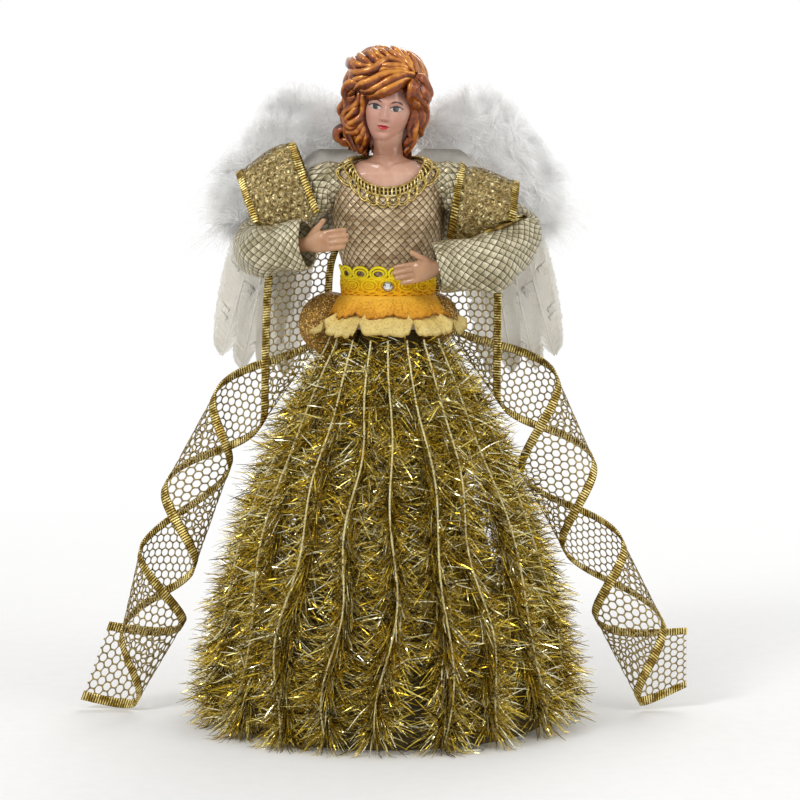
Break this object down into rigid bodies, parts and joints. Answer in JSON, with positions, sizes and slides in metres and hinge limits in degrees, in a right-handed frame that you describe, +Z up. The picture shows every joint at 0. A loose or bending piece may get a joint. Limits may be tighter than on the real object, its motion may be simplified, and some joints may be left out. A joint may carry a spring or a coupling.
{
  "type": "angel tree topper",
  "caption": "Costumed angel figure on a hollow cone that slips over the top of a tree, with a tinsel skirt, feathered wings, posable arms and curled net ribbons.",
  "frame": {"origin": "middle of the cone's mouth, level with the rim it stands on", "axes": "+Z up along the cone and the figure, -Y the way the face looks, +X to the viewer's right"},
  "size_m": [0.2802, 0.1698, 0.305],
  "materials": {
    "card": "matte",
    "core_plastic": "matte",
    "skin": "satin",
    "hair": "gloss",
    "scale_cloth": "satin",
    "gold_braid": "satin",
    "yellow_lace": "matte",
    "gem": "polished",
    "amber_petal": "satin",
    "straw_petal": "satin",
    "tinsel": "gloss",
    "steel_wire": "satin",
    "sleeve_cloth": "satin",
    "puff_ribbon": "satin",
    "hand_skin": "satin",
    "white_card": "matte",
    "feather": "matte",
    "down": "matte",
    "net_ribbon": "satin"
  },
  "bodies": {
    "doll": {"tree_cone": "card", "torso_core": "core_plastic", "bust_head": "skin", "hair": "hair", "bodice": "scale_cloth", "collar_trim": "gold_braid", "lace_belt": "yellow_lace", "belt_gem": "gem", "petals_upper": "amber_petal", "petals_lower": "straw_petal", "garland_01": "tinsel", "garland_02": "tinsel", "garland_03": "tinsel", "garland_04": "tinsel", "garland_05": "tinsel", "garland_06": "tinsel", "garland_07": "tinsel", "garland_08": "tinsel", "garland_09": "tinsel", "garland_10": "tinsel", "garland_11": "tinsel", "garland_12": "tinsel", "garland_13": "tinsel", "garland_14": "tinsel", "garland_15": "tinsel", "garland_16": "tinsel", "garland_17": "tinsel", "garland_18": "tinsel", "garland_19": "tinsel", "garland_20": "tinsel", "wing_pad": "white_card"},
    "arm_left": {"arm_wire_left": "steel_wire", "sleeve_left": "sleeve_cloth", "puff_left": "puff_ribbon"},
    "hand_left": {"hand_left": "hand_skin"},
    "wing_left": {"wing_card_left": "white_card", "feather_left_1": "feather", "feather_left_2": "feather", "feather_left_3": "feather", "feather_left_4": "feather", "fluff_left": "down"},
    "ribbon_left": {"ribbon_left": "net_ribbon"},
    "arm_right": {"arm_wire_right": "steel_wire", "sleeve_right": "sleeve_cloth", "puff_right": "puff_ribbon"},
    "hand_right": {"hand_right": "hand_skin"},
    "wing_right": {"wing_card_right": "white_card", "feather_right_1": "feather", "feather_right_2": "feather", "feather_right_3": "feather", "feather_right_4": "feather", "fluff_right": "down"},
    "ribbon_right": {"ribbon_right": "net_ribbon"}
  },
  "joints": [
    {"name": "shoulder_left", "type": "hinge", "parent": "doll", "child": "arm_left", "pos_m": [-0.0266, 0, 0.2428], "axis": [-1, 0, 0], "range_deg": [0, 40]},
    {"name": "wrist_left", "type": "hinge", "parent": "arm_left", "child": "hand_left", "pos_m": [-0.0356, -0.029, 0.2178], "axis": [0.9166, -0.3632, 0.167], "range_deg": [-45, 45]},
    {"name": "wing_fold_left", "type": "hinge", "parent": "doll", "child": "wing_left", "pos_m": [-0.0044, 0.01979, 0.2293], "axis": [0, 0, -1], "range_deg": [0, 25]},
    {"name": "ribbon_swing_left", "type": "hinge", "parent": "doll", "child": "ribbon_left", "pos_m": [-0.018, 0.01849, 0.2453], "axis": [0, 1, 0], "range_deg": [0, 20]},
    {"name": "shoulder_right", "type": "hinge", "parent": "doll", "child": "arm_right", "pos_m": [0.0266, 0, 0.2428], "axis": [-1, 0, 0], "range_deg": [0, 40]},
    {"name": "wrist_right", "type": "hinge", "parent": "arm_right", "child": "hand_right", "pos_m": [0.02159, -0.023, 0.2068], "axis": [-0.9807, -0.0645, -0.1848], "range_deg": [-45, 45]},
    {"name": "wing_fold_right", "type": "hinge", "parent": "doll", "child": "wing_right", "pos_m": [0.0044, 0.01979, 0.2293], "axis": [0, 0, 1], "range_deg": [0, 25]},
    {"name": "ribbon_swing_right", "type": "hinge", "parent": "doll", "child": "ribbon_right", "pos_m": [0.018, 0.01849, 0.2453], "axis": [0, -1, 0], "range_deg": [0, 20]}
  ]
}
